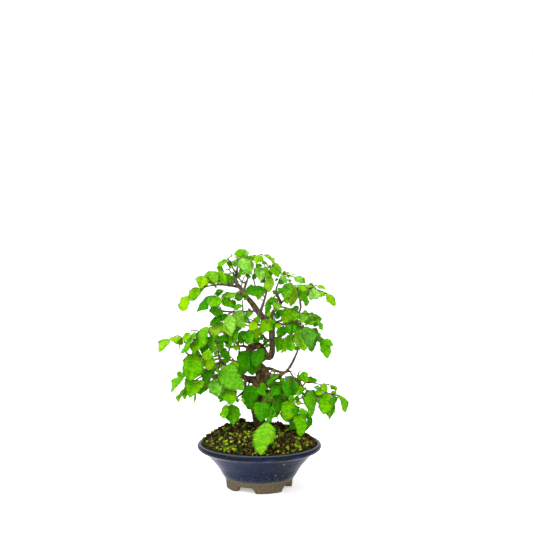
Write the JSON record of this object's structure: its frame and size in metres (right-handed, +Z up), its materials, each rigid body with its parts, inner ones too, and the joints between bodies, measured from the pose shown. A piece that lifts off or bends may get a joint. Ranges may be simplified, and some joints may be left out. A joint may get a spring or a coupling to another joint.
{
  "type": "korean hornbeam bonsai",
  "caption": "Miniature hornbeam tree with a bent trunk, spreading branches and toothed leaves, growing in soil in a round, flared, glazed bowl on feet.",
  "frame": {"origin": "on the ground under the middle of the whole tree and pot", "axes": "+Z up, -Y towards the side that the tree is shown from, +X to the right seen from there"},
  "size_m": [0.228, 0.1602, 0.2926],
  "materials": {
    "glazed_clay": "gloss",
    "soil": "rough",
    "net_plastic": "matte",
    "bark": "rough",
    "leaf": "satin"
  },
  "bodies": {
    "root": {"pot": "glazed_clay", "soil": "soil", "drain_net": "net_plastic", "trunk_and_branches": "bark", "spray_apex": "leaf", "spray_apex_left": "leaf", "spray_apex_right": "leaf", "spray_back_left_a": "leaf", "spray_back_left_b": "leaf", "spray_back_mid_a": "leaf", "spray_back_mid_c": "leaf", "spray_back_right_a": "leaf", "spray_back_right_b": "leaf", "spray_back_top_a": "leaf", "spray_back_top_c": "leaf", "spray_centre_pair": "leaf", "spray_crown_left": "leaf", "spray_crown_right": "leaf", "spray_far_left_base": "leaf", "spray_far_left_inner": "leaf", "spray_far_left_mid": "leaf", "spray_far_left_round": "leaf", "spray_far_left_top": "leaf", "spray_front_low": "leaf", "spray_front_mid": "leaf", "spray_heart": "leaf", "spray_inner_bright": "leaf", "spray_inner_round": "leaf", "spray_left_arch": "leaf", "spray_left_drop": "leaf", "spray_left_fan": "leaf", "spray_left_fold": "leaf", "spray_left_long_low": "leaf", "spray_left_long_tip": "leaf", "spray_left_low_tip": "leaf", "spray_left_shade": "leaf", "spray_left_top_far": "leaf", "spray_left_top_near": "leaf", "spray_loop": "leaf", "spray_low_right_drop": "leaf", "spray_low_right_in": "leaf", "spray_low_right_near": "leaf", "spray_low_right_rise": "leaf", "spray_low_right_star": "leaf", "spray_low_right_thin": "leaf", "spray_low_right_tip": "leaf", "spray_mid_high": "leaf", "spray_right_crown": "leaf", "spray_right_hang": "leaf", "spray_right_long_mid": "leaf", "spray_right_long_tip": "leaf", "spray_right_mid": "leaf", "spray_right_mid_low": "leaf", "spray_right_near": "leaf", "spray_right_rise_side": "leaf", "spray_right_rise_top": "leaf", "spray_right_tip": "leaf", "spray_slant_base": "leaf", "spray_stem_front": "leaf"}
  },
  "joints": []
}
